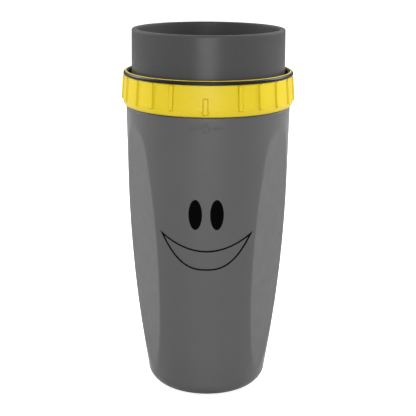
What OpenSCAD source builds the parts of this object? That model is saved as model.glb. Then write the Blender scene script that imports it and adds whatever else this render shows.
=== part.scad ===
// Travel tumbler with a twist-closing throat: double-wall cup, screw-in lid base,
// turning collar and neck, and a soft sleeve that gathers shut when the collar turns.
// The front faces -Y, and the cup stands on z = 0.

/* [Cup] */
// Height from the resting face to the drinking rim
cup_h = 200; // [198:1:204]
// Outside radius at the top of the shell
top_r = 44.25; // [44:0.05:44.4]
// Wall thickness of the outer shell
shell_t = 2.2; // [1.8:0.1:2.2]
// Wall thickness of the inner liner
liner_t = 1.8; // [1.4:0.1:2]
// Radius of the rounded bottom edge
corner_r = 9; // [8:0.5:10]
// Number of flats round the shell
flat_count = 3; // [2:1:6]
// Draft of the upper wall, millimetres of radius for each millimetre of height
draft = 0.0166; // [0.014:0.0002:0.02]
// Radius of the long curve that draws the lower wall in
belly_r = 735; // [710:5:800]

/* [Collar] */
// Height of the turning collar
collar_h = 18.3; // [17.8:0.1:18.6]
// Pitch of the grip ribs in degrees
rib_pitch = 15; // [10, 15, 20, 30]
// Width of a grip rib's crest
rib_w = 1.8; // [1.4:0.1:2.4]
// How far a grip rib stands out
rib_out = 0.8; // [0.5:0.1:1]

/* [Neck] */
// Outside radius of the drinking neck at the collar
neck_r = 41.15; // [40.8:0.05:41.2]
// Wall thickness of the drinking neck
neck_t = 2.8; // [2.5:0.1:2.9]

/* [Sleeve] */
// Radius of the soft sleeve when the throat is open
sleeve_r = 35.6; // [35.5:0.05:35.65]
// Thickness of the sleeve film
sleeve_t = 0.3; // [0.2:0.05:0.35]
// Gores that each half of the sleeve is divided into
gore_count = 12; // [8:1:14]

/* [Lid thread] */
// Rise of the lid in one turn
thread_lead = 14; // [12:1:16]
// Number of thread starts
thread_starts = 3; // [2:1:3]
// Angle that one start spans
thread_span = 105; // [60:5:110]

/* [Hidden] */
$fn = 96;
hair = 0.05;             // gap between parts that lie snugly together
gap = 0.3;               // gap between parts that move past each other
lap = 0.5;               // how far solids of one part run into each other
face = -90;              // azimuth of the front
far = 60;                // farther out than any part of the cup

// Shell, from the resting face up
pad_lift = 0.6;          // the shell's bottom clears the table by this
foot_r = 21.6;           // opening in the shell's bottom
shoulder_z = 121;        // where the lower curve meets the straight upper wall
shell_top = 159.4;
flat_low_z = 14;         // a flat runs straight between these two heights
flat_high_z = 140;
flat_low_depth = 0.1;    // how far it lies under the round wall there
flat_high_depth = 1.3;
flat_end_z = 152;        // over its straight part it curves back out to the wall
flat_run_r = 66;         // radius of that curve, and the length of its chords
flat_step = 3;
flat_inner_z = 137;      // the shell's inside has flats up to here
wall_steps = 22;         // chords that the wall's curve is drawn with

// Base cap and pad
cap_top = 3.4;           // underside of the base cap's flange
cap_flange = 4;          // how far the flange reaches past the opening
cap_t = 1.6;             // thickness of the flange
cap_lip = 3;             // the cap's bore is this much smaller than the opening
pad_r = foot_r - 2.2;
pad_t = 1.8;
groove_r = 5;            // innermost groove in the pad, and their pitch and width
groove_pitch = 4.5;
groove_w = 1;
groove_h = 0.4;

// Marks on the shell
mark_z = 153.8;
mark_h = 4;              // half the height of the band that holds a mark
mark_r = 2.4;            // outside and inside of the open mark's ring
mark_in = 1.6;
bar_x = 6.4;             // middle, length and width of the bars
bar_l = 5.2;
bar_w = 1;
relief = 0.3;            // how far the marks stand out
sink = 0.2;              // how far they run into the wall

// Printed face
face_x = 0.55;           // the print sits a little to the right of the arrow
eye_x = 5.6;
eye_z = 108.8;
eye_w = 7;
eye_h = 16.2;
mouth_line = 0.85;       // the smile is a crescent drawn as a line of even width
mouth_z = 98.4;
mouth_half = 24.2;
mouth_low = 20.2;        // depth of the lower curve, and its roundness
mouth_low_k = 2.6;
mouth_high = 9.1;        // depth of the upper curve, and its roundness
mouth_high_k = 2;
mouth_steps = 24;
ink = 0.08;

// Cup mouth
liner_gap = 3.5;         // clear space between shell and liner
liner_floor = 8;         // underside of the liner
mouth_wall_r = 39.6;     // inside of the liner's threaded mouth
mouth_floor = 141;       // shoulder under the threaded mouth
shelf_z = 156.4;         // shelf that the lid gasket sits on
shelf_t = 1.4;
seal_z = 151.6;
seal_h = 1.6;

// Lid base
skirt_z = 143;           // foot of the threaded skirt
skirt_r = 38.2;
bore_r = sleeve_r + 0.1;
lid_flange_z = 157.9;
lid_flange_top = 159.6;
lid_flange_r = 41.7;
gasket_in = 39.8;
gasket_out = 41.6;
spigot_floor = 160;      // step that the neck's spigot stands over
upstand_in = 38.9;
upstand_out = 40.3;
upstand_top = 162.45;
lock_top = 163.9;
lock_r = 42.6;

// Arc slot in the lid base's step, and the neck's lug that turns in it
stop_in = 36.6;
stop_out = 38;
stop_half = 8;           // half the angle of the lug
stop_depth = 1.6;

// Collar
lip_z = 160.2;           // underside of the lip that hooks under the retaining ring
lip_in = upstand_out + gap;
lip_t = 1.8;
collar_in = 43.3;
collar_foot = shell_top + 0.4;
collar_top = collar_foot + collar_h;
trim_h = 2.1;            // height of the trim ring
trim_t = 0.95;
collar_deck = collar_top - 0.1 - trim_h;
foot_in = 44.3;          // outside of the collar at its very foot
wall_foot_r = 45.95;     // outside of the collar's wall over its rounded foot
wall_foot_z = collar_foot + 3.8;
wall_top_r = 45;         // outside of the collar's wall at its deck
deck_soft = 0.3;         // bevel of the deck's edge
rim_r = 44.55;           // outside of the thin upper rim
rim_t = 0.7;
rim_soft = 0.2;
rib_foot = collar_foot + 3.1;
rib_top = collar_deck - 0.4;
rib_flank = 0.15;        // width of a rib's sloping side, seen from outside

// Arrow on the collar, heights over the collar's foot
arrow_shaft_w = 1.9;
arrow_top = 9.2;
arrow_neck = 3.4;
arrow_wide = 2.5;
arrow_tip = 1.15;
arrow_head_w = 3.1;
arrow_out = 0.45;
moat_w = 0.5;            // shallow groove round the arrow
moat_depth = 0.5;

// Neck
neck_taper = 0.3;        // radius that the neck loses above the collar
neck_top_r = neck_r - neck_taper;
neck_in = neck_top_r - neck_t;
rim_out_soft = 0.7;      // rounding of the drinking rim, outside and inside
rim_in_soft = 0.4;
spigot_r = upstand_in - gap;
neck_foot = spigot_floor + 0.4;
neck_flange_z = 165;
neck_flange_top = 168;
rim_step_z = 171;        // where the collar's bore widens under the thin rim
lock_t = 0.9;            // lining of the rim, over the ring that holds the neck down
lining_top = collar_top - 0.55;

// Sleeve
lower_clamp_z = 143.4;
clamp_h = 4;
clamp_t = 1.5;
upper_clamp_top = 178;
upper_clamp_z = upper_clamp_top - clamp_h;
waist_z = (lower_clamp_z + clamp_h + upper_clamp_z) / 2;
sleeve_in = sleeve_r - sleeve_t;
clamp_in = sleeve_in - clamp_t;
ledge_z = upper_clamp_top + 0.4;
ledge_h = 3;             // height of the slope over the ledge
gore_half = 180 / gore_count - 0.1;
tuck = 0.4;              // a gore ends this far short of its clamp ring's far edge

// Thread
ridge_out = 0.9;         // height of a thread ridge
ridge_root = 1;          // half width of a ridge at its root
ridge_crest = 0.45;      // half width of a ridge at its crest
ridge_bite = 0.4;        // depth of a ridge's root inside its wall
ring_step = 7;           // degrees between a ridge's sections
lid_ridge_z = 146.2;
cup_ridge_z = lid_ridge_z + thread_lead / thread_starts / 2;

UPPER = [for (i = [1:gore_count]) str("sleeve_upper_", i)];
LOWER = [for (i = [1:gore_count]) str("sleeve_lower_", i)];

// ---------- helpers ----------

// Outside radius of the shell at height z
function body_r(z) = top_r - draft * (shell_top - z) - pow(max(shoulder_z - z, 0), 2) / (2 * belly_r);

// Wall points from height a to height b, moved in by inset
function wall(a, b, inset, steps) =
    [for (i = [0:steps]) let (z = a + (b - a) * i / steps) [body_r(z) - inset, z]];

// Points on an arc round (x, y), from angle a to angle b; rx and ry are its two radii
function arc(x, y, rx, ry, a, b, steps) =
    [for (i = [0:steps]) let (t = a + (b - a) * i / steps) [x + rx * cos(t), y + ry * sin(t)]];

// Quarter round from the bottom face to the wall
function corner(z, r, inset) = arc(body_r(z + r) - inset - r, z + r, r, r, -90, 0, 8);

// Ring of revolution with a rectangular section
module ring(r_in, r_out, z0, z1) {
    rotate_extrude()
        translate([r_in, z0])
            square([r_out - r_in, z1 - z0]);
}

// Solid of revolution that follows the wall, from a up to b
module wall_solid(a, b, inset, r) {
    rotate_extrude()
        polygon(concat([[0, a]], corner(a, r, inset), wall(a + r, b, inset, wall_steps), [[0, b]]));
}

// Distance of a flat from the axis at height z
function flat_r(z) =
    let (low = body_r(flat_low_z) - flat_low_depth, high = body_r(flat_high_z) - flat_high_depth)
    low + (high - low) * (z - flat_low_z) / (flat_high_z - flat_low_z)
    + pow(max(z - flat_high_z, 0), 2) / (2 * flat_run_r);

// Cuts that leave the flats, up to height top; inset moves them towards the axis
module flat_cuts(inset, top) {
    heights = concat([-far], [for (z = [flat_high_z:flat_step:top - flat_step / 2]) z], [top]);
    side = [for (z = heights) [flat_r(z) - inset, z]];
    for (i = [0:flat_count - 1])
        rotate(face + 180 + i * 360 / flat_count)
            translate([0, far, 0])
                rotate([90, 0, 0])
                    linear_extrude(2 * far)
                        polygon(concat([[far, -far]], side, [[far, top]]));
}

// Pie slice in the XY plane
module sector(from, to) {
    polygon(concat([[0, 0]], arc(0, 0, far, far, from, to, 12)));
}

// Sector of a ring
module ring_sector(r_in, r_out, z0, z1, from, to) {
    intersection() {
        ring(r_in, r_out, z0, z1);
        translate([0, 0, z0 - 1])
            linear_extrude(z1 - z0 + 2)
                sector(from, to);
    }
}

// One helical ridge; side is 1 for an outside thread and -1 for an inside thread
module ridge(r, z, side) {
    count = ceil(thread_span / ring_step);
    section = [[-ridge_bite, -ridge_root], [ridge_out, -ridge_crest],
               [ridge_out, ridge_crest], [-ridge_bite, ridge_root]];
    points = [for (i = [0:count], p = section)
        let (a = thread_span * i / count)
        [(r + side * p[0]) * cos(a), (r + side * p[0]) * sin(a), z + thread_lead * a / 360 + p[1]]];
    sides = [for (i = [0:count - 1], k = [0:3])
        let (a = i * 4 + k, b = i * 4 + (k + 1) % 4) [a, a + 4, b + 4, b]];
    ends = [[0, 1, 2, 3], [for (k = [3:-1:0]) count * 4 + k]];
    faces = concat(sides, ends);
    polyhedron(points, side < 0 ? faces : [for (f = faces) [for (k = [3:-1:0]) f[k]]]);
}

module ridges(r, z, side) {
    for (i = [0:thread_starts - 1])
        rotate(i * 360 / thread_starts)
            ridge(r, z, side);
}

// What of its children lies between in and out of the shell's outside wall, from z0 up to z1
module skin(z0, z1, in, out) {
    intersection() {
        children();
        rotate_extrude()
            polygon(concat(wall(z0, z1, in, 6), wall(z1, z0, -out, 6)));
    }
}

// Drawing on the front, standing upright in the XZ plane and pushed through the wall
module stamp(z) {
    translate([0, 0, z])
        rotate([90, 0, 0])
            linear_extrude(far)
                children();
}

// ---------- cup ----------

module mark_bars() {
    for (s = [-1, 1])
        translate([s * bar_x - bar_l / 2, -bar_w / 2])
            square([bar_l, bar_w]);
}

// Open mark: a ring between two bars
module open_mark() {
    difference() {
        circle(mark_r);
        circle(mark_in);
    }
    mark_bars();
}

// Closed mark: a disc between two bars
module closed_mark() {
    circle(mark_r);
    mark_bars();
}

module outer_shell() {
    color("#4a4a4b") {
        difference() {
            wall_solid(pad_lift, shell_top, 0, corner_r);
            difference() {
                wall_solid(pad_lift + shell_t, shell_top + 1, shell_t, corner_r - shell_t);
                flat_cuts(shell_t, flat_inner_z);
            }
            flat_cuts(0, flat_end_z);
            ring(0, foot_r, -1, cap_top);
        }
        skin(mark_z - mark_h, mark_z + mark_h, sink, relief)
            stamp(mark_z)
                open_mark();
        rotate(180)
            skin(mark_z - mark_h, mark_z + mark_h, sink, relief)
                stamp(mark_z)
                    closed_mark();
    }
}

module inner_liner() {
    outside = shell_t + liner_gap;
    mouth_out = mouth_wall_r + liner_t;
    flange_r = body_r(shelf_z - 2) - shell_t - hair;
    color("#444446") {
        difference() {
            union() {
                wall_solid(liner_floor, mouth_floor, outside, corner_r);
                rotate_extrude()
                    polygon([[0, mouth_floor - 2], [body_r(mouth_floor - 2) - outside, mouth_floor - 2],
                             [mouth_out, mouth_floor + 1], [mouth_out, shelf_z - 2],
                             [flange_r, shelf_z - shelf_t], [flange_r, shelf_z],
                             [0, shelf_z]]);
            }
            wall_solid(liner_floor + liner_t, mouth_floor, outside + liner_t, corner_r - liner_t);
            ring(0, body_r(mouth_floor) - outside - liner_t, mouth_floor - 1, mouth_floor + 1);
            ring(0, mouth_wall_r, mouth_floor, shelf_z + 1);
        }
        ridges(mouth_wall_r, cup_ridge_z, -1);
    }
}

module rim_seal() {
    color("#2b2b2d")
        ring(mouth_wall_r + liner_t + hair / 2, body_r(seal_z) - shell_t - hair / 2,
             seal_z, seal_z + seal_h);
}

module base_cap() {
    color("#444446")
        difference() {
            union() {
                ring(0, foot_r - hair, pad_lift + 0.2, cap_top + lap);
                ring(0, foot_r + cap_flange, cap_top, cap_top + cap_t);
            }
            ring(0, pad_r + hair, -1, pad_t);
            ring(0, foot_r - cap_lip, cap_top, cap_top + 2 * cap_t);
        }
}

module base_pad() {
    color("#2b2b2d")
        difference() {
            ring(0, pad_r, 0, pad_t - hair);
            for (i = [0:2])
                let (r = groove_r + groove_pitch * i)
                    ring(r, r + groove_w, -1, groove_h);
        }
}

function sag(depth, k, t) = -depth * (1 - pow(abs(t), k));

// Crescent between two curves that meet at the corners of the mouth
module crescent() {
    polygon(concat(
        [for (i = [-mouth_steps:mouth_steps]) let (t = i / mouth_steps)
            [mouth_half * t, sag(mouth_low, mouth_low_k, t)]],
        [for (i = [mouth_steps - 1:-1:1 - mouth_steps]) let (t = i / mouth_steps)
            [mouth_half * t, sag(mouth_high, mouth_high_k, t)]]));
}

module mouth() {
    difference() {
        crescent();
        offset(delta = -mouth_line)
            crescent();
    }
}

module eye() {
    scale([eye_w, eye_h])
        circle(0.5, $fn = 48);
}

module face_print() {
    color("#070707") {
        skin(eye_z - eye_h / 2 - 1, eye_z + eye_h / 2 + 1, 0, ink)
            for (s = [-1, 1])
                translate([face_x + s * eye_x, 0, 0])
                    stamp(eye_z)
                        eye();
        skin(mouth_z - mouth_low - 1, mouth_z + 1, 0, ink)
            translate([face_x, 0, 0])
                stamp(mouth_z)
                    mouth();
    }
}

// ---------- lid base ----------

module lid_gasket() {
    color("#d8d8d4")
        ring(gasket_in, gasket_out, shelf_z + hair, lid_flange_z - hair);
}

module lid_base() {
    color("#444446") {
        difference() {
            union() {
                ring(bore_r, skirt_r, skirt_z, lid_flange_z + lap);
                ring(bore_r, lid_flange_r, lid_flange_z, lid_flange_top);
                ring(bore_r, upstand_out, lid_flange_top - lap, spigot_floor);
                ring(upstand_in, upstand_out, spigot_floor - lap, upstand_top);
            }
            ring_sector(stop_in, stop_out, spigot_floor - stop_depth, spigot_floor + 1,
                        face - 180 - stop_half - 1, face + stop_half + 1);
        }
        ridges(skirt_r, lid_ridge_z, 1);
    }
}

module glide_ring() {
    color("#e8e6de")
        ring(lip_in, collar_in - gap, lid_flange_top + hair, lip_z - hair);
}

module retaining_ring() {
    color("#3a3a3c")
        ring(upstand_in + hair, lock_r, upstand_top + hair, lock_top);
}

module lower_clamp_ring() {
    color("#3a3a3c")
        ring(clamp_in, sleeve_in - hair, lower_clamp_z, lower_clamp_z + clamp_h);
}

// ---------- turning collar and neck ----------

// Outside radius of the collar's wall at height z, over its rounded foot
function collar_r(z) =
    wall_foot_r - (wall_foot_r - wall_top_r) * (z - wall_foot_z) / (collar_deck - wall_foot_z);

// Outside of the collar from its foot to its deck, moved out by out
function collar_side(out) = concat(
    arc(foot_in, wall_foot_z, wall_foot_r - foot_in + out, wall_foot_z - collar_foot + out, -84, 0, 7),
    [[collar_r(collar_deck - deck_soft) + out, collar_deck - deck_soft]]);

// Band under the collar's outside, moved out by out
module collar_band(out) {
    rotate_extrude()
        polygon(concat([[collar_in + lap, collar_foot]], collar_side(out),
                       [[collar_in + lap, collar_deck - deck_soft]]));
}

module collar_wall() {
    bore = rim_r - rim_t;
    rotate_extrude()
        polygon(concat(
            [[collar_in, collar_foot]],
            collar_side(0),
            [[wall_top_r - deck_soft, collar_deck], [rim_r, collar_deck],
             [rim_r, collar_top - rim_soft], [rim_r - rim_soft, collar_top],
             [bore + rim_soft, collar_top], [bore, collar_top - rim_soft],
             [bore, rim_step_z], [collar_in, rim_step_z - (bore - collar_in)],
             [collar_in, lip_z + lip_t], [lip_in, lip_z + lip_t], [lip_in, lip_z], [collar_in, lip_z]]));
}

// Grip rib with sloping sides, which leans in with the wall
module rib() {
    crest = rib_w / 2;
    root = crest + rib_flank;
    lean = atan((wall_foot_r - wall_top_r) / (collar_deck - wall_foot_z));
    translate([collar_r(rib_foot), 0, rib_foot])
        rotate([0, -lean, 0])
            linear_extrude(rib_top - rib_foot)
                polygon([[-lap, -root], [0, -root], [rib_out, -crest],
                         [rib_out, crest], [0, root], [-lap, root]]);
}

module arrow() {
    shaft = arrow_shaft_w / 2;
    head = arrow_head_w / 2;
    polygon([[-shaft, arrow_top], [-shaft, arrow_neck], [-head, arrow_wide], [0, arrow_tip],
             [head, arrow_wide], [shaft, arrow_neck], [shaft, arrow_top]]);
}

module twist_collar() {
    color("#e6c832") {
        difference() {
            collar_wall();
            difference() {
                stamp(collar_foot)
                    offset(delta = moat_w)
                        arrow();
                collar_band(-moat_depth);
            }
        }
        intersection() {
            collar_band(arrow_out);
            stamp(collar_foot)
                arrow();
        }
        for (a = [rib_pitch * 1.5:rib_pitch:360 - rib_pitch])
            rotate(face + a)
                rib();
    }
}

module trim_ring() {
    color("#141416")
        rotate_extrude()
            translate([rim_r + hair, collar_deck + hair])
                polygon([[0, 0], [trim_t, 0], [trim_t, trim_h - 2 * rim_soft],
                         [trim_t - rim_soft, trim_h - rim_soft], [0, trim_h - rim_soft]]);
}

module neck() {
    color("#464648") {
        rotate_extrude()
            polygon(concat(
                [[spigot_r, neck_foot], [spigot_r, neck_flange_z], [collar_in - hair, neck_flange_z],
                 [collar_in - hair, neck_flange_top], [neck_r, neck_flange_top], [neck_r, collar_deck]],
                arc(neck_top_r - rim_out_soft, cup_h - rim_out_soft, rim_out_soft, rim_out_soft, 0, 90, 8),
                arc(neck_in + rim_in_soft, cup_h - rim_in_soft, rim_in_soft, rim_in_soft, 90, 180, 3),
                [[neck_in, ledge_z + ledge_h], [bore_r, ledge_z], [bore_r, neck_foot]]));
        ring_sector(stop_in + gap / 2, stop_out - gap / 2, spigot_floor - stop_depth + gap, neck_foot + lap,
                    face - stop_half, face + stop_half);
    }
}

module neck_lock_ring() {
    bore = rim_r - rim_t - hair;
    color("#1d1d1f")
        rotate_extrude()
            polygon([[neck_r + hair, neck_flange_top + hair], [collar_in - hair, neck_flange_top + hair],
                     [collar_in - hair, rim_step_z - (bore - collar_in)], [bore, rim_step_z + hair],
                     [bore, lining_top], [bore - lock_t, lining_top],
                     [bore - lock_t, rim_step_z], [neck_r + hair, rim_step_z]]);
}

module upper_clamp_ring() {
    color("#3a3a3c")
        ring(clamp_in, sleeve_in - hair, upper_clamp_z, upper_clamp_top);
}

// ---------- sleeve ----------

module gore(i, z0, z1) {
    middle = face + (i - 1) * 360 / gore_count;
    color("#3d3d40")
        ring_sector(sleeve_in, sleeve_r, z0, z1, middle - gore_half, middle + gore_half);
}

outer_shell();
inner_liner();
rim_seal();
base_cap();
base_pad();
face_print();
lid_gasket();
lid_base();
glide_ring();
retaining_ring();
lower_clamp_ring();
twist_collar();
trim_ring();
neck();
neck_lock_ring();
upper_clamp_ring();
for (i = [1:gore_count])
    gore(i, lower_clamp_z + tuck, waist_z - hair);
for (i = [1:gore_count])
    gore(i, waist_z + hair, upper_clamp_top - tuck);
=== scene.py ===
import math

import bpy
import numpy as np
from mathutils import Matrix, Vector


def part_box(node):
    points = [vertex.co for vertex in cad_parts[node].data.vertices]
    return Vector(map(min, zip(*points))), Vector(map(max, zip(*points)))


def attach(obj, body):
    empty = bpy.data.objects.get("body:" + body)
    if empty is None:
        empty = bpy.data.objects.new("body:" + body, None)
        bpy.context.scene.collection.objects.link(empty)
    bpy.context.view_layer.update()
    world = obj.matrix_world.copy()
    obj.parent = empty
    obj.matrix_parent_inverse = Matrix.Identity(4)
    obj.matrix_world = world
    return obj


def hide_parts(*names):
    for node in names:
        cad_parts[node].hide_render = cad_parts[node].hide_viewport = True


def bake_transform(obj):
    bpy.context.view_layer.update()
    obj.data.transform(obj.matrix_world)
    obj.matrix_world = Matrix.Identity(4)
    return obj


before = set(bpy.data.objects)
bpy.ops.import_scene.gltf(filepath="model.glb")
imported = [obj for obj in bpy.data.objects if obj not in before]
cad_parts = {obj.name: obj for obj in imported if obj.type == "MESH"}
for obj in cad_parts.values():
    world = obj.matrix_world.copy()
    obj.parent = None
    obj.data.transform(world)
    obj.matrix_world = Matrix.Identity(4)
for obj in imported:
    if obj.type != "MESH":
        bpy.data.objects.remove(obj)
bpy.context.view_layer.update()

MM = 0.001
TURN = 2 * math.pi
FRONT = -math.pi / 2      # azimuth of the cup's front
FAR = 1e3                # farther off than anything on the cup

# ---------------------------------------------------------------- sizes, in mm
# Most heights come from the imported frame; radii, reliefs and fine edges are named here.


def low(node):
    """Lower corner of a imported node's box."""
    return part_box(node)[0] / MM


def high(node):
    """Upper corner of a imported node's box."""
    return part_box(node)[1] / MM


SHELL_TOP = high("outer_shell").z
SHELL_FOOT = low("outer_shell").z
RIM_Z = high("neck").z
COLLAR_FOOT = low("twist_collar").z
COLLAR_TOP = high("twist_collar").z
TRIM_FOOT, TRIM_TOP = low("trim_ring").z, high("trim_ring").z
TRIM_R = high("trim_ring").x

TOP_R = high("outer_shell").x    # outside radius at the shell's top
DRAFT = 0.0166           # radius lost for each millimetre down the upper wall
SHOULDER_Z = 121.0       # where the lower curve starts
BELLY_R = 735.0          # radius of the lower curve
SHELL_T = 2.2
CORNER_R = 9.0
FOOT_R = 21.6            # opening for the base cap
FLAT_LOW, FLAT_HIGH = 14.0, 140.0        # a flat runs straight between these heights
LOW_DEPTH, HIGH_DEPTH = 0.1, 1.3         # how far it lies under the round wall there
FLAT_RUN_R = 66.0        # over its straight part it curves back out to the wall
FLATS = [FRONT + math.pi + k * TURN / 3 for k in range(3)]
FLAT_REACH = 0.3         # a flat is looked for where the cosine from its middle is over this
EDGE_SOFT = 0.15         # how softly a flat runs into the round wall
LIP_OUT_SOFT, LIP_IN_SOFT = 0.5, 0.4     # rounding of the shell's top edges
HAIR = 0.05              # gap between parts that lie snugly together
BREAK = 0.2              # chamfer on small hidden edges


def body_r(z):
    """Radius of the round wall at height z."""
    drop = np.maximum(SHOULDER_Z - z, 0) ** 2 / (2 * BELLY_R)
    return TOP_R - DRAFT * (SHELL_TOP - z) - drop


def soft_min(a, b, k):
    """Lesser of a and b, with the crease between them rounded over k."""
    h = np.clip(0.5 + 0.5 * (b - a) / k, 0, 1)
    return b * (1 - h) + a * h - k * h * (1 - h)


def wall_r(azimuth, z, inset=0.0):
    """Radius of the shell with its flats, at an azimuth and height; inset is the depth under it."""
    r = body_r(z) - inset
    flat_foot, flat_head = body_r(FLAT_LOW) - LOW_DEPTH, body_r(FLAT_HIGH) - HIGH_DEPTH
    plane = flat_foot + (flat_head - flat_foot) * (z - FLAT_LOW) / (FLAT_HIGH - FLAT_LOW) - inset
    plane += np.maximum(z - FLAT_HIGH, 0) ** 2 / (2 * FLAT_RUN_R)
    for centre in FLATS:
        c = np.cos(azimuth - centre)
        reach = np.where(c > FLAT_REACH, plane / np.maximum(c, FLAT_REACH), FAR)
        r = soft_min(r, reach, EDGE_SOFT)
    return r


# ---------------------------------------------------------------- mesh helpers


def mesh_object(name, verts, faces, smooth_angle=35):
    """A new mesh object from points in millimetres."""
    mesh = bpy.data.meshes.new(name)
    mesh.from_pydata([tuple(MM * c for c in v) for v in verts], [], faces)
    mesh.update()
    obj = bpy.data.objects.new(name, mesh)
    bpy.context.scene.collection.objects.link(obj)
    for polygon in mesh.polygons:
        polygon.use_smooth = True
    mesh.set_sharp_from_angle(angle=math.radians(smooth_angle))
    return obj


def nest(rings, closed_loop=False):
    """(verts, faces) of quads between rings; closed_loop joins the last ring to the first.

    An open stack is capped at both ends.
    """
    n, m = len(rings), len(rings[0])
    verts = np.concatenate(rings)
    faces = []
    for i in range(n if closed_loop else n - 1):
        a, b = i * m, (i + 1) % n * m
        for j in range(m):
            k = (j + 1) % m
            faces.append((a + j, a + k, b + k, b + j))
    if not closed_loop:
        faces.append(tuple(range(m - 1, -1, -1)))
        faces.append(tuple(range((n - 1) * m, n * m)))
    return verts, faces


def join_meshes(name, parts):
    """One mesh object from several (verts, faces) parts, in millimetres."""
    verts, faces = [], []
    for part_verts, part_faces in parts:
        base = len(verts)
        verts += [tuple(v) for v in part_verts]
        faces += [tuple(base + i for i in f) for f in part_faces]
    return mesh_object(name, verts, faces)


def arc(cx, cz, r, start, end, steps):
    """Points on an arc in the profile plane; angles in degrees, 0 outwards and 90 up."""
    return [
        (cx + r * math.cos(a), cz + r * math.sin(a))
        for a in np.radians(np.linspace(start, end, steps))
    ]


def turned(name, profile, segments, radius=None):
    """A ring-shaped solid turned from a closed profile of (r, z). radius(azimuth, r, z) may change r."""
    u = np.linspace(0, TURN, segments, endpoint=False)
    rings = []
    for r, z in profile:
        rr = np.full(segments, r) if radius is None else radius(u, r, z)
        rings.append(np.stack([rr * np.cos(u), rr * np.sin(u), np.full(segments, z)], 1))
    return mesh_object(name, *nest(rings, closed_loop=True))


def soft_top(outer, inner, z):
    """Profile points over the top of a thin wall, both edges rounded."""
    edge = ((0, 0.2), (0.05, 0.07), (0.18, 0))
    return [(outer - dr, z - dz) for dr, dz in edge] + [(inner + dr, z - dz) for dr, dz in edge[::-1]]


def rounded(points, r, steps=4):
    """A closed profile with every corner of a polygon rounded to radius r, or less on a short side."""
    out, n = [], len(points)
    for i in range(n):
        p, q, s = (np.array(points[(i + k) % n], float) for k in (-1, 0, 1))
        to_p, to_s = p - q, s - q
        lp, ls = np.linalg.norm(to_p), np.linalg.norm(to_s)
        to_p, to_s = to_p / lp, to_s / ls
        cos_between = float(np.clip(to_p @ to_s, -1, 1))
        half = math.acos(cos_between) / 2
        cut = min(r / math.tan(half), 0.45 * lp, 0.45 * ls)
        a, b = q + to_p * cut, q + to_s * cut
        for t in np.linspace(0, 1, steps):
            out.append(tuple((1 - t) ** 2 * a + 2 * t * (1 - t) * q + t * t * b))
    return out


# ---------------------------------------------------------------- materials


def material(name, colour, roughness, build, **sockets):
    """A Principled material. build(tree, shader, colour) adds the nodes for its detail."""
    mat = bpy.data.materials.new("look_" + name)
    mat["slot"] = name
    mat.use_nodes = True
    tree = mat.node_tree
    shader = tree.nodes["Principled BSDF"]
    shader.inputs["Base Color"].default_value = (*colour, 1)
    shader.inputs["Roughness"].default_value = roughness
    for socket, value in sockets.items():
        shader.inputs[socket.replace("_", " ")].default_value = value
    build(tree, shader, colour)
    return mat


def add(tree, kind, **values):
    """A new node. Values go to the inputs of that name (From_Min is "From Min"), else to properties."""
    node = tree.nodes.new(kind)
    for key, value in values.items():
        socket = key.replace("_", " ")
        if socket in node.inputs:
            node.inputs[socket].default_value = value
        else:
            setattr(node, key, value)
    return node


def object_noise(tree, scale, detail):
    """Noise in object space, scale in cells for each metre."""
    place = add(tree, "ShaderNodeTexCoord")
    noise = add(tree, "ShaderNodeTexNoise", Scale=scale, Detail=detail)
    tree.links.new(place.outputs["Object"], noise.inputs["Vector"])
    return noise.outputs["Fac"]


def spread(tree, source, low_value, high_value):
    """Noise, which runs from about 0.3 to 0.7, remapped to two values."""
    node = add(tree, "ShaderNodeMapRange", From_Min=0.3, From_Max=0.7, To_Min=low_value, To_Max=high_value)
    tree.links.new(source, node.inputs["Value"])
    return node.outputs["Result"]


def dulled(tree, roughness, z0, z1, dull):
    """A roughness output that rises to dull between two heights in metres."""
    place = add(tree, "ShaderNodeTexCoord")
    parts = add(tree, "ShaderNodeSeparateXYZ")
    tree.links.new(place.outputs["Object"], parts.inputs[0])
    wear = add(tree, "ShaderNodeMapRange", From_Min=z0, From_Max=z1, To_Max=1)
    tree.links.new(parts.outputs["Z"], wear.inputs["Value"])
    mix = add(tree, "ShaderNodeMix", B=dull)
    tree.links.new(wear.outputs["Result"], mix.inputs["Factor"])
    tree.links.new(roughness, mix.inputs["A"])
    return mix.outputs["Result"]


DRIFT, GLOSS_DRIFT = 45, 160             # scale of the drifts in colour and in gloss
GRAIN_DEPTH = 0.00006


def moulded(grain, bump, tint, gloss, worn=None):
    """Moulded plastic: a fine surface grain, a slow drift in colour and a slight drift in gloss.

    gloss is the lowest and highest roughness. worn says where it turns dull, as dulled() takes it.
    """

    def build(tree, shader, colour):
        link = tree.links.new
        darker = (*[c * (1 - tint) for c in colour], 1)
        lighter = (*[min(1, c * (1 + tint)) for c in colour], 1)
        mix = add(tree, "ShaderNodeMix", data_type="RGBA", A=darker, B=lighter)
        link(spread(tree, object_noise(tree, DRIFT, 4), 0, 1), mix.inputs["Factor"])
        link(mix.outputs["Result"], shader.inputs["Base Color"])
        roughness = spread(tree, object_noise(tree, GLOSS_DRIFT, 3), *gloss)
        if worn:
            roughness = dulled(tree, roughness, *worn)
        link(roughness, shader.inputs["Roughness"])
        relief = add(tree, "ShaderNodeBump", Strength=bump, Distance=GRAIN_DEPTH)
        link(object_noise(tree, grain, 2), relief.inputs["Height"])
        link(relief.outputs["Normal"], shader.inputs["Normal"])

    return build


# the drinking rim has lost its gloss: it is dull from 0.7 below its top up
RIM_DULL = (MM * (RIM_Z - 1.2), MM * (RIM_Z - 0.7), 0.7)

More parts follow.
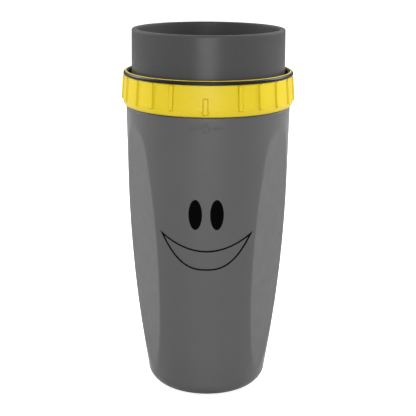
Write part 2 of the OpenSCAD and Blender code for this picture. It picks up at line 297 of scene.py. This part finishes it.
SHELL = material(
    "shell_soft_grey", (0.078, 0.078, 0.080), 0.5,
    moulded(grain=2600, bump=0.35, tint=0.02, gloss=(0.46, 0.54)),
    Sheen_Weight=0.35, Sheen_Roughness=0.3,
)
NECK = material(
    "neck_grey", (0.060, 0.060, 0.061), 0.30,
    moulded(grain=1500, bump=0.03, tint=0.01, gloss=(0.28, 0.33), worn=RIM_DULL),
    Specular_IOR_Level=0.28,
)
LINER = material(
    "liner_grey", (0.075, 0.075, 0.078), 0.42,
    moulded(grain=1500, bump=0.12, tint=0.02, gloss=(0.38, 0.46)),
)
HIDDEN = material(
    "hidden_grey", (0.045, 0.045, 0.047), 0.5,
    moulded(grain=1500, bump=0.15, tint=0.02, gloss=(0.45, 0.55)),
)
YELLOW = material(
    "collar_yellow", (0.70, 0.535, 0.015), 0.42,
    moulded(grain=1100, bump=0.05, tint=0.012, gloss=(0.38, 0.46)),
    Specular_IOR_Level=0.3,
)
BLACK_GLOSS = material(
    "trim_black", (0.006, 0.006, 0.009), 0.34,
    moulded(grain=700, bump=0.03, tint=0.05, gloss=(0.31, 0.38)),
    Specular_IOR_Level=0.22,
)
INK = material(
    "print_black", (0.001, 0.001, 0.001), 0.7,
    moulded(grain=3000, bump=0.05, tint=0.05, gloss=(0.65, 0.75)),
    Specular_IOR_Level=0.02,
)
SEAL = material(
    "seal_black", (0.024, 0.024, 0.026), 0.62,
    moulded(grain=2200, bump=0.2, tint=0.04, gloss=(0.56, 0.68)),
)
GASKET = material(
    "gasket_white", (0.68, 0.68, 0.64), 0.45,
    moulded(grain=1800, bump=0.08, tint=0.02, gloss=(0.4, 0.5)),
    Subsurface_Weight=0.2, Subsurface_Scale=0.002,
)
GLIDE = material(
    "glide_white", (0.79, 0.77, 0.72), 0.4,
    moulded(grain=1500, bump=0.08, tint=0.02, gloss=(0.36, 0.44)),
)
FILM = material(
    "sleeve_film", (0.047, 0.047, 0.052), 0.48,
    moulded(grain=1900, bump=0.10, tint=0.03, gloss=(0.42, 0.54)),
    Sheen_Weight=0.15, Sheen_Roughness=0.4,
)


def finish_piece(obj, mat, body=None, replaces=()):
    """Gives a piece its material, hides the imported parts that it replaces, and gives it its body."""
    obj.data.materials.clear()
    obj.data.materials.append(mat)
    if replaces:
        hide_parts(*replaces)
    if body:
        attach(obj, body)
    return obj


# ---------------------------------------------------------------- shell


def shell():
    """Outer shell: round wall with soft-edged flats, rounded foot and lip, and its inside wall."""
    z0, top = SHELL_FOOT, SHELL_TOP
    knee = z0 + CORNER_R
    corner_x = body_r(knee) - CORNER_R
    outer_corner = arc(corner_x, knee, CORNER_R, -90, 0, 14)
    # between the corner and the lip a row's radius comes from the wall, by its name
    outside = [("outside", z) for z in np.linspace(knee + 1.5, top - 0.7, 84)]
    lip = arc(TOP_R - LIP_OUT_SOFT - 0.05, top - LIP_OUT_SOFT, LIP_OUT_SOFT, 15, 90, 5)
    lip += arc(TOP_R - SHELL_T + LIP_IN_SOFT, top - LIP_IN_SOFT, LIP_IN_SOFT, 90, 180, 4)
    inside = [("inside", z) for z in np.linspace(top - 2, knee, 30)]
    inner_corner = arc(corner_x, knee, CORNER_R - SHELL_T, 0, -90, 8)[1:]
    foot = [(FOOT_R, z0 + SHELL_T), (FOOT_R, z0 + 0.4), (FOOT_R + 0.12, z0 + 0.1), (FOOT_R + 0.5, z0)]
    profile = outer_corner + outside + lip + inside + inner_corner + foot

    def radius(u, r, z):
        if r == "outside":
            return wall_r(u, z)
        if r == "inside":
            return wall_r(u, z, inset=SHELL_T)
        return np.full(len(u), r)

    obj = turned("shell", profile, 360, radius)
    return finish_piece(obj, SHELL, "cup", replaces=["outer_shell"])


# ---------------------------------------------------------------- marks and print


def on_wall(points, azimuth, z0):
    """Local (x along the wall, z up, h out) points laid on the shell round (azimuth, z0)."""
    p = np.asarray(points, float)
    z = z0 + p[..., 1]
    u = azimuth + np.arcsin(p[..., 0] / body_r(z))
    r = wall_r(u, z) + p[..., 2]
    return np.stack([r * np.cos(u), r * np.sin(u), z], -1)


def ovals(steps, segments, ellipse=1.0):
    """Rings of local points, one for each (radius, height); ellipse stretches them upwards."""
    turn = np.linspace(0, TURN, segments, endpoint=False)
    return [
        np.stack([r * np.cos(turn), r * ellipse * np.sin(turn), np.full(segments, h)], 1)
        for r, h in steps
    ]


def dome_disc(r, height, sink, rings=5, segments=40, ellipse=1.0):
    """Rings for a raised disc with a rounded edge, from its sunken rim to its middle."""
    straight = 0.35 * height
    edge = min(height, 0.3 * r)
    steps = [(r, -sink), (r, straight)]
    steps += [
        (r - edge * (1 - math.cos(a)), straight + (height - straight) * math.sin(a))
        for a in np.linspace(0.3, math.pi / 2, 3)
    ]
    steps += [(r * k, height) for k in np.linspace(0.75, 0.02, rings)]
    return ovals(steps, segments, ellipse)


def raised_ring(r_in, r_out, height, sink):
    """Rings for a raised annulus; the last one meets the first."""
    soft = min(RELIEF_SOFT, height / 2)
    outer = [(r_out, -sink), (r_out, height - soft), (r_out - soft, height)]
    inner = [(r_in + soft, height), (r_in, height - soft), (r_in, -sink)]
    return ovals(outer + inner, 48)


def raised_bar(x0, x1, half, height, sink):
    """Rings for a raised bar with round ends, as nested outlines."""
    soft = min(RELIEF_SOFT, height / 2)
    steps = [(half, -sink), (half, height - soft), (half - soft, height)]
    steps += [(half * k, height) for k in (0.4, 0.02)]
    side = np.linspace(x0 + half, x1 - half, 8)[1:-1]
    end = np.linspace(-math.pi / 2, math.pi / 2, 9)
    out = []
    for q, h in steps:
        outline = [(x1 - half + q * math.cos(a), q * math.sin(a), h) for a in end]
        outline += [(x, q, h) for x in side[::-1]]
        outline += [(x0 + half - q * math.cos(a), -q * math.sin(a), h) for a in end]
        outline += [(x, -q, h) for x in side]
        out.append(np.array(outline))
    return out


MARK_Z = 153.8
MARK_R, MARK_IN = 2.4, 1.6               # outside and inside of the open mark's ring
BAR_X, BAR_L, BAR_W = 6.4, 5.2, 1.0      # middle, length and width of the bars
RELIEF, RELIEF_SINK, RELIEF_SOFT = 0.3, 0.25, 0.12


def mark(name, azimuth, solid):
    """Relief mark on the shell: a ring (open) or a disc (closed) between two bars."""
    if solid:
        rings = dome_disc(MARK_R, RELIEF, RELIEF_SINK)
    else:
        rings = raised_ring(MARK_IN, MARK_R, RELIEF, RELIEF_SINK)
    parts = [nest([on_wall(r, azimuth, MARK_Z) for r in rings], closed_loop=not solid)]
    for x in (-BAR_X, BAR_X):
        bar = raised_bar(x - BAR_L / 2, x + BAR_L / 2, BAR_W / 2, RELIEF, RELIEF_SINK)
        parts.append(nest([on_wall(r, azimuth, MARK_Z) for r in bar]))
    return finish_piece(join_meshes(name, parts), SHELL, "cup")


FACE_X = 0.55            # the print sits a little to the right of the arrow
EYE_X, EYE_Z, EYE_W, EYE_H = 5.6, 108.8, 7.0, 16.2
MOUTH_Z, MOUTH_HALF, MOUTH_LINE = 98.4, 24.2, 0.85
LOW_CURVE, HIGH_CURVE = (20.2, 2.6), (9.1, 2.0)      # depth and roundness of the smile's two curves
INK_H, INK_SINK = 0.06, 0.1


def eyes():
    """Two plain printed ovals."""
    parts = []
    for side in (-1, 1):
        rings = dome_disc(EYE_W / 2, INK_H, INK_SINK, rings=8, segments=72, ellipse=EYE_H / EYE_W)
        for r in rings:
            r[:, 0] += FACE_X + side * EYE_X
        parts.append(nest([on_wall(r, FRONT, EYE_Z) for r in rings]))
    return finish_piece(join_meshes("print_eyes", parts), INK, "cup", replaces=["face_print"])


def closed_outline(x, below, above):
    """Counter-clockwise (x, z) points along one curve and back along another that meets its ends."""
    return np.concatenate([np.stack([x, below], 1), np.stack([x, above], 1)[-2:0:-1]])


def mouth():
    """A plain printed smile: the outline of a crescent, drawn as a line of even width."""
    t = np.linspace(-1, 1, 97)
    x = MOUTH_HALF * t
    edges, moved = [], []
    for (depth, roundness), side in ((LOW_CURVE, 1), (HIGH_CURVE, -1)):
        z = -depth * (1 - np.abs(t) ** roundness)
        slope = np.gradient(z, x)
        shift = side * MOUTH_LINE / np.hypot(1, slope)
        edges.append(z)
        moved.append((x - shift * slope, z + shift))
    # the line's inner edge ends where its two curves cross
    fine = np.linspace(0, MOUTH_HALF, 1000)
    reach = fine[np.interp(fine, *moved[1]) > np.interp(fine, *moved[0])].max()
    outer = closed_outline(x, *edges)
    inner = closed_outline(reach * t, *[np.interp(reach * t, *curve) for curve in moved])
    steps = [(outer, -INK_SINK), (outer, INK_H), (inner, INK_H), (inner, -INK_SINK)]
    rings = [np.column_stack([xz[:, 0] + FACE_X, xz[:, 1], np.full(len(xz), h)]) for xz, h in steps]
    verts, faces = nest([on_wall(r, FRONT, MOUTH_Z) for r in rings], closed_loop=True)
    return finish_piece(mesh_object("print_mouth", verts, faces), INK, "cup")


# ---------------------------------------------------------------- collar

WALL_FOOT_R, WALL_TOP_R = 45.95, 45.0        # the wall under the ribs
WALL_FOOT_Z = COLLAR_FOOT + 3.8
FOOT_IN = 44.3           # outside radius at the very foot
DECK_Z = TRIM_FOOT - HAIR
RIM_R, RIM_T = 44.55, 0.7        # the thin rim that stands inside the trim ring
RIM_STEP_Z = 171.0       # the bore widens to the thin rim here
COLLAR_IN = 43.3
LINING_T = 0.9           # dark lining of the thin rim
LIP_IN, LIP_Z, LIP_T = 40.6, 160.2, 1.8      # lip that hooks under the retaining ring
RIB_PITCH = math.radians(15)
RIB_COUNT = round(TURN / RIB_PITCH)
RIB_W, RIB_FLANK, RIB_OUT = 1.8, 0.15, 0.8   # width of the crest, of a flank, and the height
RIB_FOOT, RIB_TOP = COLLAR_FOOT + 3.1, DECK_Z - 0.4
RIB_CORNER = 0.5         # rounding of a rib's corners
SEAM_W, SEAM_DEPTH = 0.36, 0.4       # fine groove round the foot of a rib
SEAM_SIDES = (0.1, 0.12)     # widths that its near and far sides take up
SHAFT, HEAD = 0.95, 1.55     # half widths of the arrow
ARROW_TIP, ARROW_WIDE, ARROW_NECK, ARROW_TOP = 1.15, 2.5, 3.4, 9.2   # heights over the collar's foot
ARROW_HALF = [(0, ARROW_TIP), (HEAD, ARROW_WIDE), (SHAFT, ARROW_NECK), (SHAFT, ARROW_TOP)]
ARROW = np.array([(-x, z) for x, z in ARROW_HALF[:0:-1]] + ARROW_HALF)
ARROW_OUT, ARROW_SIDE = 0.45, 0.16   # relief, and the width that its side takes up
ARROW_SPAN, ARROW_COLUMNS = 3.6, 91  # half width of the fine columns over it, and their number
MOAT_W, MOAT_DEPTH, MOAT_SIDE = 0.5, 0.5, 0.12


def collar_r(z):
    """Outside radius of the collar's wall between its foot and its deck."""
    return WALL_FOOT_R + (WALL_TOP_R - WALL_FOOT_R) * (z - WALL_FOOT_Z) / (DECK_Z - WALL_FOOT_Z)


def collar_skin_r(z):
    """Outside radius of the collar with its rounded foot."""
    s = np.clip((WALL_FOOT_Z - z) / (WALL_FOOT_Z - COLLAR_FOOT), 0, 1)
    foot = FOOT_IN + (WALL_FOOT_R - FOOT_IN) * np.sqrt(1 - s * s)
    return np.where(z < WALL_FOOT_Z, foot, collar_r(z))


def smooth_step(x):
    """A soft step from 0 to 1 while x goes from 0 to 1."""
    x = np.clip(x, 0, 1)
    return x * x * (3 - 2 * x)


def rib_height(u, z):
    """How far the ribs stand out at azimuth u and height z, with a fine groove round each."""
    # the ribs sit at odd multiples of half a pitch from the arrow
    around = (u - FRONT) / RIB_PITCH - 0.5
    nearest = np.round(around)
    offset = np.abs(around - nearest) * RIB_PITCH * collar_r(z)
    from_front = np.abs((nearest + 0.5) * RIB_PITCH)
    from_front = np.abs((from_front + math.pi) % TURN - math.pi)
    beside_arrow = from_front < RIB_PITCH
    # distance outside the crest, a rectangle with rounded corners
    over_x = offset - RIB_W / 2 + RIB_CORNER
    over_z = np.abs(z - (RIB_FOOT + RIB_TOP) / 2) - (RIB_TOP - RIB_FOOT) / 2 + RIB_CORNER
    outside = np.hypot(np.maximum(over_x, 0), np.maximum(over_z, 0)) - RIB_CORNER
    outside += np.minimum(np.maximum(over_x, over_z), 0)
    flank = smooth_step(1 - outside / RIB_FLANK)
    seam = smooth_step((outside - RIB_FLANK) / SEAM_SIDES[0])
    seam *= smooth_step((SEAM_W + RIB_FLANK - outside) / SEAM_SIDES[1])
    return np.where(beside_arrow, 0, RIB_OUT * flank - SEAM_DEPTH * seam)


def arrow_depth(x, z):
    """Distance inside the arrow's outline, negative outside it."""
    best, inside = np.full(np.shape(x), FAR), np.zeros(np.shape(x), bool)
    for (x0, z0), (x1, z1) in zip(ARROW, np.roll(ARROW, -1, 0)):
        dx, dz = x1 - x0, z1 - z0
        t = np.clip(((x - x0) * dx + (z - z0) * dz) / (dx * dx + dz * dz), 0, 1)
        best = np.minimum(best, np.hypot(x - x0 - t * dx, z - z0 - t * dz))
        if dz:
            inside ^= ((z0 > z) != (z1 > z)) & (x < x0 + dx * (z - z0) / dz)
    return np.where(inside, best, -best)


def arrow_height(u, z):
    """Relief of the arrow: a shallow moat with the arrow raised out of it."""
    from_front = (u - FRONT + math.pi) % TURN - math.pi
    depth = arrow_depth(from_front * WALL_FOOT_R, z - COLLAR_FOOT)
    moat = smooth_step((depth + MOAT_W + MOAT_SIDE / 2) / MOAT_SIDE)
    island = smooth_step((depth + MOAT_SIDE / 2) / ARROW_SIDE)
    return (MOAT_DEPTH + ARROW_OUT) * island - MOAT_DEPTH * moat


def collar_azimuths():
    """Azimuths for the collar's mesh, close together at the ribs' flanks and over the arrow."""
    out = []
    # distances from a rib's middle
    across_rib = (0.4, 0.8, 0.9, 0.94, 0.97, 1, 1.04, 1.08, 1.13, 1.18, 1.25, 1.3, 1.35, 1.39, 1.44, 1.6)
    reach = across_rib[-1] / WALL_FOOT_R
    for k in range(RIB_COUNT):
        centre = FRONT + (k + 0.5) * RIB_PITCH
        out += [centre + side * d / WALL_FOOT_R for side in (-1, 1) for d in across_rib]
        # five columns in the gap to the next rib; the last gap holds the arrow
        if k < RIB_COUNT - 1:
            out += [centre + reach + (RIB_PITCH - 2 * reach) * j / 6 for j in range(1, 6)]
    out += [FRONT + x / WALL_FOOT_R for x in np.linspace(-ARROW_SPAN, ARROW_SPAN, ARROW_COLUMNS)]
    return np.array(sorted(FRONT + (u - FRONT) % TURN for u in out))


def collar():
    """Turning collar: ribs, arrow, rounded foot, deck for the trim ring and thin upper rim."""
    foot = [(COLLAR_IN, COLLAR_FOOT + BREAK / 2), (COLLAR_IN + BREAK / 2, COLLAR_FOOT)]
    # rows of the wall: close together at the foot and over the arrow, then at the ribs' upper ends
    zs = [COLLAR_FOOT + d for d in (0, 0.02, 0.06, 0.13, 0.25)]
    zs += list(np.arange(COLLAR_FOOT + 0.36, COLLAR_FOOT + 10, 0.09))
    zs += list(np.linspace(COLLAR_FOOT + 10.4, RIB_TOP - 0.9, 7))
    zs += list(np.linspace(RIB_TOP - 0.6, DECK_Z - 0.33, 9))
    wall = [(float(collar_skin_r(z)), z) for z in zs]
    deck_edge = ((0, 0.3), (0.03, 0.17), (0.12, 0.05), (0.28, 0))
    deck = [(WALL_TOP_R - dr, DECK_Z - dz) for dr, dz in deck_edge] + [(RIM_R, DECK_Z + 0.01)]
    bore = RIM_R - RIM_T
    rim = soft_top(RIM_R, bore, COLLAR_TOP) + [(bore, RIM_STEP_Z), (COLLAR_IN, RIM_STEP_Z - 0.55)]
    lip_top = LIP_Z + LIP_T
    lip = [
        (COLLAR_IN, lip_top + BREAK), (COLLAR_IN - BREAK, lip_top),
        (LIP_IN + BREAK, lip_top), (LIP_IN, lip_top - BREAK),
        (LIP_IN, LIP_Z + BREAK), (LIP_IN + BREAK, LIP_Z),
        (COLLAR_IN - BREAK / 2, LIP_Z), (COLLAR_IN, LIP_Z - BREAK / 2),
    ]
    profile = foot + wall + deck + rim + lip
    u = collar_azimuths()
    rings = []
    for i, (r, z) in enumerate(profile):
        if len(foot) <= i < len(foot + wall):
            r = r + rib_height(u, z) + arrow_height(u, z)
        rings.append(np.stack([r * np.cos(u), r * np.sin(u), np.full(len(u), z)], 1))
    obj = mesh_object("collar_body", *nest(rings, closed_loop=True), smooth_angle=40)
    return finish_piece(obj, YELLOW, "collar", replaces=["twist_collar"])


def trim():
    """Glossy ring round the collar's upper rim, its shoulder rounded off."""
    inner = RIM_R + HAIR
    reach = TRIM_R - inner - 0.08
    shoulder = TRIM_FOOT + 0.75
    foot_edge = ((0.3, 0.02), (0.1, 0.12), (0, 0.32))
    profile = [(inner, TRIM_FOOT)] + [(TRIM_R - dr, TRIM_FOOT + dz) for dr, dz in foot_edge]
    profile += [
        (TRIM_R - reach + reach * math.cos(a), shoulder + (TRIM_TOP - shoulder) * math.sin(a))
        for a in np.radians(np.linspace(0, 90, 12))
    ]
    profile += [(inner, TRIM_TOP - 0.02)]
    return finish_piece(turned("trim", profile, 300), BLACK_GLOSS, "collar", replaces=["trim_ring"])


def lining():
    """Dark ring that holds the neck down and lines the inside of the collar's thin rim."""
    z0, z1 = low("neck_lock_ring").z, high("neck_lock_ring").z
    bore = RIM_R - RIM_T - HAIR
    corners = [
        (NECK_R + HAIR, z0), (COLLAR_IN - HAIR, z0), (COLLAR_IN - HAIR, RIM_STEP_Z - 0.5),
        (bore, RIM_STEP_Z + HAIR), (bore, z1), (bore - LINING_T, z1),
        (bore - LINING_T, RIM_STEP_Z), (NECK_R + HAIR, RIM_STEP_Z),
    ]
    obj = turned("lining", rounded(corners, 0.12), 300)
    return finish_piece(obj, SEAL, "collar", replaces=["neck_lock_ring"])


# ---------------------------------------------------------------- neck

NECK_R, NECK_TOP_R, NECK_T = 41.15, 40.85, 2.8
RIM_OUT_SOFT, RIM_IN_SOFT = 0.7, 0.4
FLANGE_LOW, FLANGE_TOP = 165.0, 168.0
FLANGE_R, FLANGE_SOFT = 43.25, 0.25
SPIGOT_Z, SPIGOT_R, THROAT_R = 160.4, 38.6, 35.7


def neck():
    """Drinking neck: soft rim, inside wall, ledge over the sleeve's clamp, flange and lower spigot."""
    inside = NECK_TOP_R - NECK_T
    ledge = high("upper_clamp_ring").z + 0.4
    shoulder = RIM_Z - RIM_OUT_SOFT
    profile = [(NECK_R, z) for z in (FLANGE_TOP, FLANGE_TOP + 4, DECK_Z)]
    profile += [
        (NECK_R + (NECK_TOP_R - NECK_R) * t, DECK_Z + (shoulder - DECK_Z) * t)
        for t in np.linspace(0.1, 0.95, 10)
    ]
    profile += arc(NECK_TOP_R - RIM_OUT_SOFT, shoulder, RIM_OUT_SOFT, 0, 90, 13)
    profile += arc(inside + RIM_IN_SOFT, RIM_Z - RIM_IN_SOFT, RIM_IN_SOFT, 90, 180, 7)
    profile += [(inside, z) for z in np.linspace(RIM_Z - 2, ledge + 3.6, 8)]
    profile += [(inside - 0.1, ledge + 3.1), (inside - 0.35, ledge + 2.6)]
    profile += [(THROAT_R + 0.2, ledge + 0.25), (THROAT_R + 0.02, ledge + 0.05), (THROAT_R, ledge - 0.3)]
    profile += [(THROAT_R, SPIGOT_Z + BREAK), (THROAT_R + BREAK, SPIGOT_Z)]
    profile += [(SPIGOT_R - BREAK, SPIGOT_Z), (SPIGOT_R, SPIGOT_Z + BREAK), (SPIGOT_R, FLANGE_LOW)]
    profile += [(FLANGE_R - FLANGE_SOFT, FLANGE_LOW), (FLANGE_R, FLANGE_LOW + FLANGE_SOFT)]
    profile += [(FLANGE_R, FLANGE_TOP - FLANGE_SOFT), (FLANGE_R - FLANGE_SOFT, FLANGE_TOP)]
    return finish_piece(turned("neck_body", profile, 300), NECK, "collar", replaces=["neck"])


# ---------------------------------------------------------------- sleeve

GORES = 12
SLEEVE_R, SLEEVE_T = 35.6, 0.3
GORE_COLUMNS, GORE_ROWS = 9, 29
WAIST_Z = (high("sleeve_lower_1").z + low("sleeve_upper_1").z) / 2


def gore(side, index):
    """One gore of the soft sleeve: a thin straight strip from its clamp end to the sleeve's waist."""
    node = f"sleeve_{side}_{index + 1}"
    z_low, z_high = (low(node).z, WAIST_Z) if side == "lower" else (WAIST_Z, high(node).z)
    centre = FRONT + index * TURN / GORES
    u = centre + np.linspace(-0.5, 0.5, GORE_COLUMNS) * TURN / GORES
    radii = np.repeat((SLEEVE_R, SLEEVE_R - SLEEVE_T), GORE_COLUMNS)
    there_and_back = np.concatenate([u, u[::-1]])
    x, y = radii * np.cos(there_and_back), radii * np.sin(there_and_back)
    rings = [np.stack([x, y, np.full(len(x), z)], 1) for z in np.linspace(z_low, z_high, GORE_ROWS)]
    obj = mesh_object("film_" + node, *nest(rings), smooth_angle=60)
    finish_piece(obj, FILM, replaces=[node])
    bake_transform(obj)
    return obj


# ---------------------------------------------------------------- the whole cup

shell()
mark("mark_open", FRONT, False)
mark("mark_closed", FRONT + math.pi, True)
eyes()
mouth()
collar()
trim()
lining()
neck()
for index in range(GORES):
    gore("lower", index)
    gore("upper", index)

CAD_LOOKS = {
    "inner_liner": LINER, "rim_seal": SEAL, "base_cap": LINER, "base_pad": SEAL, "lid_gasket": GASKET,
    "lid_base": LINER, "glide_ring": GLIDE, "retaining_ring": HIDDEN, "lower_clamp_ring": HIDDEN,
    "upper_clamp_ring": HIDDEN,
}
for node, mat in CAD_LOOKS.items():
    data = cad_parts[node].data
    data.materials.clear()
    data.materials.append(mat)

# ---------------------------------------------------------------- stage

FLOOR_SIZE, FLOOR_DROP, FLOOR_ROUGHNESS = 8, 0.0002, 0.9
FLOOR_CARD, FLOOR_GLOW = 0.55, 0.8       # grey of the card, and what the camera's white gives off
WORLD_FRONT, WORLD_BACK = 0.76, 0.15     # strength of the world's light from either side
FADE_FROM, FADE_TO = -0.5, 0.6           # y of the directions between which it changes


def seen_or_not(tree, seen, unseen, output):
    """Puts one shader before the camera and another before everything else."""
    path = tree.nodes.new("ShaderNodeLightPath")
    choose = tree.nodes.new("ShaderNodeMixShader")
    tree.links.new(path.outputs["Is Camera Ray"], choose.inputs["Fac"])
    tree.links.new(unseen, choose.inputs[1])
    tree.links.new(seen, choose.inputs[2])
    tree.links.new(choose.outputs["Shader"], output)


def pale_floor():
    """White before the camera, with faint shadows; a plain grey card to the rest of the scene."""
    mat = bpy.data.materials.new("pale_floor")
    mat.use_nodes = True
    tree = mat.node_tree
    card = tree.nodes["Principled BSDF"]
    card.inputs["Base Color"].default_value = (FLOOR_CARD, FLOOR_CARD, FLOOR_CARD, 1)
    card.inputs["Roughness"].default_value = FLOOR_ROUGHNESS
    white = add(
        tree, "ShaderNodeBsdfPrincipled", Roughness=FLOOR_ROUGHNESS,
        Base_Color=(0.9, 0.9, 0.9, 1), Emission_Color=(1, 1, 1, 1), Emission_Strength=FLOOR_GLOW,
    )
    seen_or_not(tree, white.outputs[0], card.outputs[0], tree.nodes["Material Output"].inputs["Surface"])
    return mat


bpy.ops.mesh.primitive_plane_add(size=FLOOR_SIZE, location=(0, 0, -FLOOR_DROP))
floor = bpy.context.object
floor.name = "floor"
floor.data.materials.append(pale_floor())


def studio_world():
    """White before the camera; for the light, brighter from the front than from the back."""
    world = bpy.data.worlds.new("studio")
    bpy.context.scene.world = world
    world.use_nodes = True
    tree = world.node_tree
    soft = tree.nodes["Background"]
    soft.inputs["Color"].default_value = (1, 1, 1, 1)
    aim = add(tree, "ShaderNodeTexCoord")
    parts = add(tree, "ShaderNodeSeparateXYZ")
    fade = add(
        tree, "ShaderNodeMapRange",
        From_Min=FADE_FROM, From_Max=FADE_TO, To_Min=WORLD_FRONT, To_Max=WORLD_BACK,
    )
    tree.links.new(aim.outputs["Generated"], parts.inputs[0])
    tree.links.new(parts.outputs["Y"], fade.inputs["Value"])
    tree.links.new(fade.outputs["Result"], soft.inputs["Strength"])
    backdrop = add(tree, "ShaderNodeBackground", Color=(1, 1, 1, 1))
    seen_or_not(tree, backdrop.outputs[0], soft.outputs[0], tree.nodes["World Output"].inputs["Surface"])


studio_world()

LIGHT_TARGET = (0, 0, 0.1)
SOFTBOXES = (
    # name, place, width and height, watts
    ("left_side", (-0.95, 0.42, 0.68), (0.6, 0.6), 12.2),
    ("right_side", (0.95, 0.42, 0.68), (0.6, 0.6), 14),
    ("back_box", (0, 1.2, 0.6), (0.8, 0.8), 2),
    ("front_box", (0.02, -1.3, 0.35), (0.6, 0.8), 7),
    ("top_box", (0, 0.1, 1.1), (0.6, 0.6), 1),
)


def softbox(name, location, size, power):
    """A rectangular area light that faces the middle of the cup."""
    light = bpy.data.lights.new(name, "AREA")
    light.shape = "RECTANGLE"
    light.size, light.size_y = size
    light.energy = power
    obj = bpy.data.objects.new(name, light)
    bpy.context.scene.collection.objects.link(obj)
    obj.location = location
    obj.rotation_euler = (Vector(LIGHT_TARGET) - Vector(location)).to_track_quat("-Z", "Y").to_euler()


for box in SOFTBOXES:
    softbox(*box)

# ---------------------------------------------------------------- camera

CAMERA_DISTANCE = 0.550
CAMERA_HEIGHT = 0.2513
CAMERA_PITCH = 0.267
FOCAL_PIXELS = 1024
TURN_LEFT = math.radians(1.6)    # the cup's front is turned a little to the left
CAMERA_ROLL = math.radians(0.38)
CAMERA_SHIFT = 0.6               # pixels
IMAGE_WIDTH = 416
SENSOR_WIDTH = 36

camera_data = bpy.data.cameras.new("camera")
camera_data.sensor_width = SENSOR_WIDTH
camera_data.lens = FOCAL_PIXELS * SENSOR_WIDTH / IMAGE_WIDTH
camera_data.shift_x = CAMERA_SHIFT / IMAGE_WIDTH
camera = bpy.data.objects.new("camera", camera_data)
bpy.context.scene.collection.objects.link(camera)
pitch = Matrix.Rotation(math.pi / 2 - CAMERA_PITCH, 4, "X")
yaw = Matrix.Rotation(TURN_LEFT, 4, "Z")
roll = Matrix.Rotation(CAMERA_ROLL, 4, "Z")
camera.matrix_world = yaw @ Matrix.Translation((0, -CAMERA_DISTANCE, CAMERA_HEIGHT)) @ pitch @ roll
bpy.context.scene.camera = camera
bpy.context.scene.view_settings.view_transform = "Standard"
